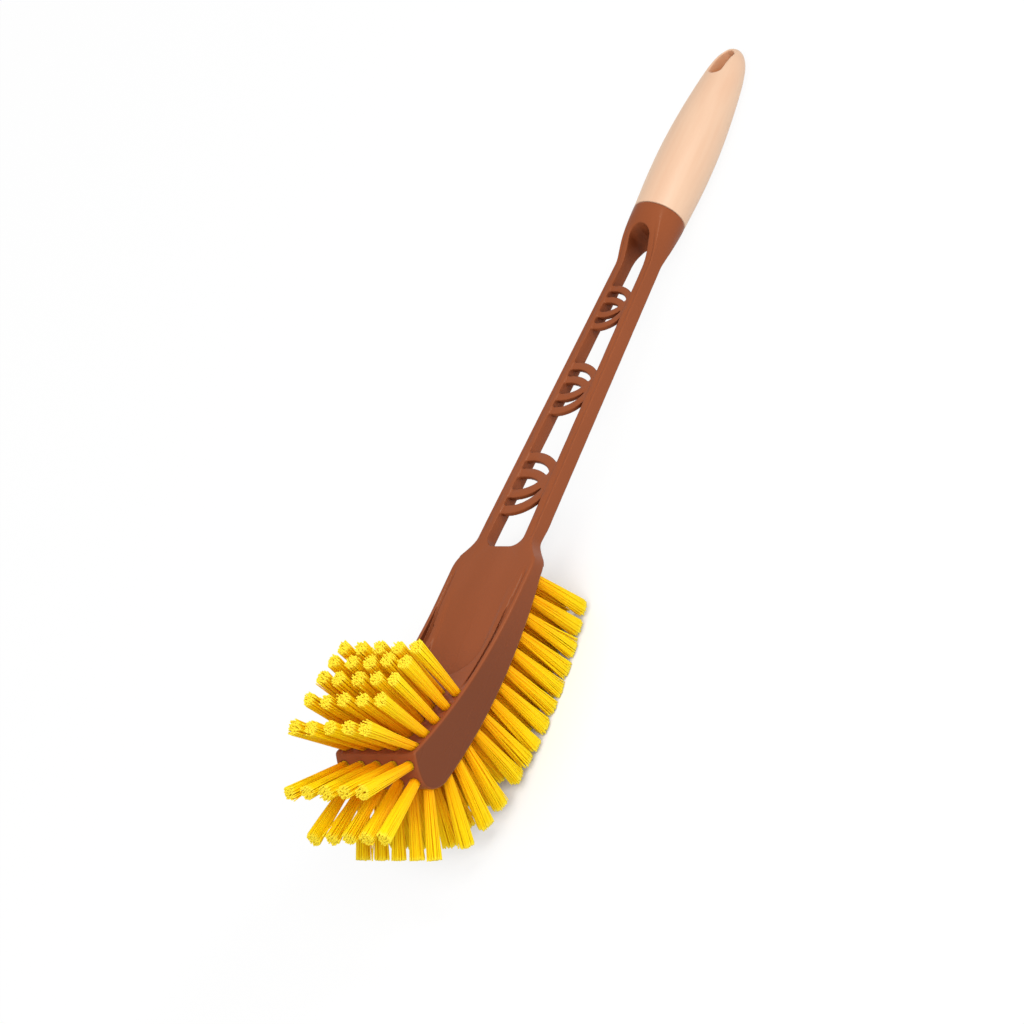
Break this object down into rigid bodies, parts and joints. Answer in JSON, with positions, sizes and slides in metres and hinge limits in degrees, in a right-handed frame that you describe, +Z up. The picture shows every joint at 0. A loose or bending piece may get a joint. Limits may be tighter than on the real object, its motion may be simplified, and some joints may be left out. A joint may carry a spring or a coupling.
{
  "type": "toilet brush",
  "caption": "Hand brush with a curved bristled head, an openwork two-rail shaft and a tapered wood-toned grip with a hanging slot.",
  "frame": {"origin": "centre of the bounding box in plan, on the surface that the brush lies on", "axes": "+X along the brush from the nose of the head to the tip of the grip, +Y across the brush, +Z up with the front of the head and its front tufts facing up"},
  "size_m": [0.428, 0.0448, 0.1092],
  "materials": {
    "brown_plastic": "satin moulded brown plastic",
    "wood_toned_plastic": "smooth satin pale wood-toned plastic with a soft lengthwise streak",
    "yellow_filament": "bundled yellow plastic filament"
  },
  "bodies": {
    "root": {"brush_body": "brown_plastic", "grip": "wood_toned_plastic", "bristle_row_front_1": "yellow_filament", "bristle_row_front_2": "yellow_filament", "bristle_row_front_3": "yellow_filament", "bristle_row_front_4": "yellow_filament", "bristle_row_front_5": "yellow_filament", "bristle_row_nose_1": "yellow_filament", "bristle_row_nose_2": "yellow_filament", "bristle_row_nose_3": "yellow_filament", "bristle_row_belly_01": "yellow_filament", "bristle_row_belly_02": "yellow_filament", "bristle_row_belly_03": "yellow_filament", "bristle_row_belly_04": "yellow_filament", "bristle_row_belly_05": "yellow_filament", "bristle_row_belly_06": "yellow_filament", "bristle_row_belly_07": "yellow_filament", "bristle_row_belly_08": "yellow_filament", "bristle_row_belly_09": "yellow_filament", "bristle_row_belly_10": "yellow_filament", "bristle_row_belly_11": "yellow_filament", "bristle_row_belly_12": "yellow_filament", "bristle_row_belly_13": "yellow_filament"}
  },
  "joints": []
}
